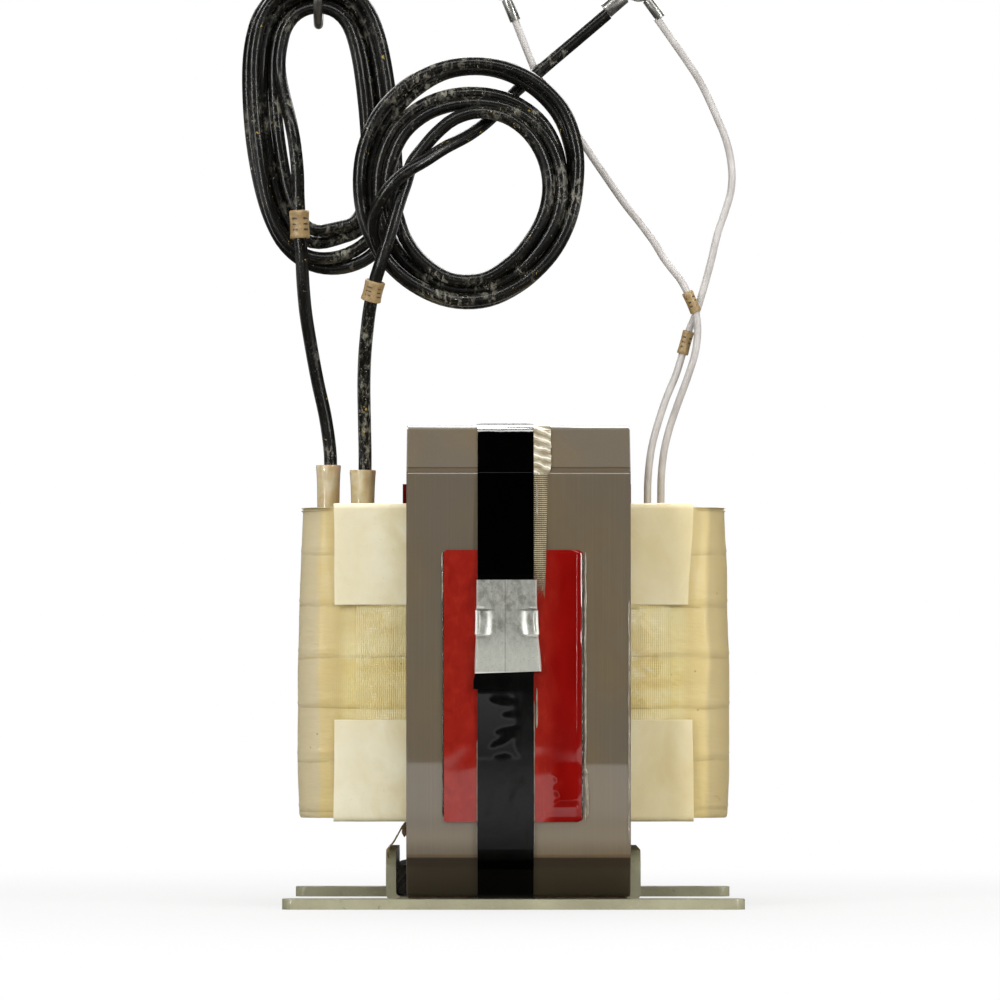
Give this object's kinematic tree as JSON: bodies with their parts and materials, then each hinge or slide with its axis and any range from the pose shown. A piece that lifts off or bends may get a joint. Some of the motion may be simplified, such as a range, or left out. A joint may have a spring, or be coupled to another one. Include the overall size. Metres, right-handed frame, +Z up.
{
  "type": "power transformer",
  "caption": "Shell-type transformer: banded cut-core loops round a taped coil, on a folded bracket with slotted feet, with coiled heavy leads and thin leads held up by small hooks.",
  "frame": {"origin": "on the bench, under the centre of the object without its leads", "axes": "+Z up, +Y from the crimped seal's side to the rear, +X to the right seen from the seal's side"},
  "size_m": [0.1748, 0.1862, 0.3481],
  "materials": {
    "bracket_paint": "olive-grey paint, satin, over folded steel sheet",
    "bond": "cured brown bonding resin",
    "core_steel": "brown-grey varnished wound steel strip with a fine lengthwise grain",
    "red_board": "red sheet under glossy impregnating varnish",
    "band_black": "black japanned steel band, glossy",
    "seal_zinc": "galvanised, mottled, crimped",
    "holding_tape": "clear filament tape with fine cross ribs",
    "former_board": "pressboard",
    "copper_winding": "enamelled copper wire in layers, varnished",
    "barrier_paper": "layered insulating paper",
    "coil_tape": "yellowish half-lapped insulating tape, varnished",
    "cream_board": "ivory insulating sheet, satin",
    "glass_tape": "ribbed glass tape, wet-looking varnish",
    "ivory_sleeve": "ivory woven sleeve",
    "heavy_cable": "glossy black jacket with dust and scuffs",
    "thin_wire": "pale grey jacket",
    "marker_tan": null,
    "lug_tin": "tinned copper",
    "hook_steel": "zinc-plated wire"
  },
  "bodies": {
    "root": {"mounting_bracket": "bracket_paint", "base_bond": "bond", "front_core_lower": "core_steel", "front_core_upper": "core_steel", "rear_core_lower": "core_steel", "rear_core_upper": "core_steel", "core_separator": "red_board", "banding_strap": "band_black", "strap_seal": "seal_zinc", "seal_pad": "red_board", "core_tape": "holding_tape", "coil_former": "former_board", "limb_packing": "former_board", "primary_winding": "copper_winding", "winding_barrier": "barrier_paper", "secondary_winding": "copper_winding", "ground_insulation": "barrier_paper", "end_margin_bottom": "barrier_paper", "end_margin_top": "barrier_paper", "outer_wrap": "coil_tape", "window_liner_front_lower": "cream_board", "window_liner_front_upper": "cream_board", "window_liner_rear_lower": "cream_board", "window_liner_rear_upper": "cream_board", "packing_front": "glass_tape", "packing_rear": "glass_tape", "lead_sleeve_a": "ivory_sleeve", "lead_sleeve_b": "ivory_sleeve", "lead_a_cable": "heavy_cable", "lead_a_coil": "heavy_cable", "lead_a_tail": "heavy_cable", "lead_a_marker": "marker_tan", "lead_a_lug": "lug_tin", "lead_b_cable": "heavy_cable", "lead_b_coil": "heavy_cable", "lead_b_tail": "heavy_cable", "lead_b_marker": "marker_tan", "lead_b_lug": "lug_tin", "lead_c_cable": "thin_wire", "lead_c_marker": "marker_tan", "lead_c_lug": "lug_tin", "lead_d_cable": "thin_wire", "lead_d_marker": "marker_tan", "lead_d_lug": "lug_tin", "hook_left": "hook_steel", "hook_middle": "hook_steel", "hook_right": "hook_steel"}
  },
  "joints": []
}
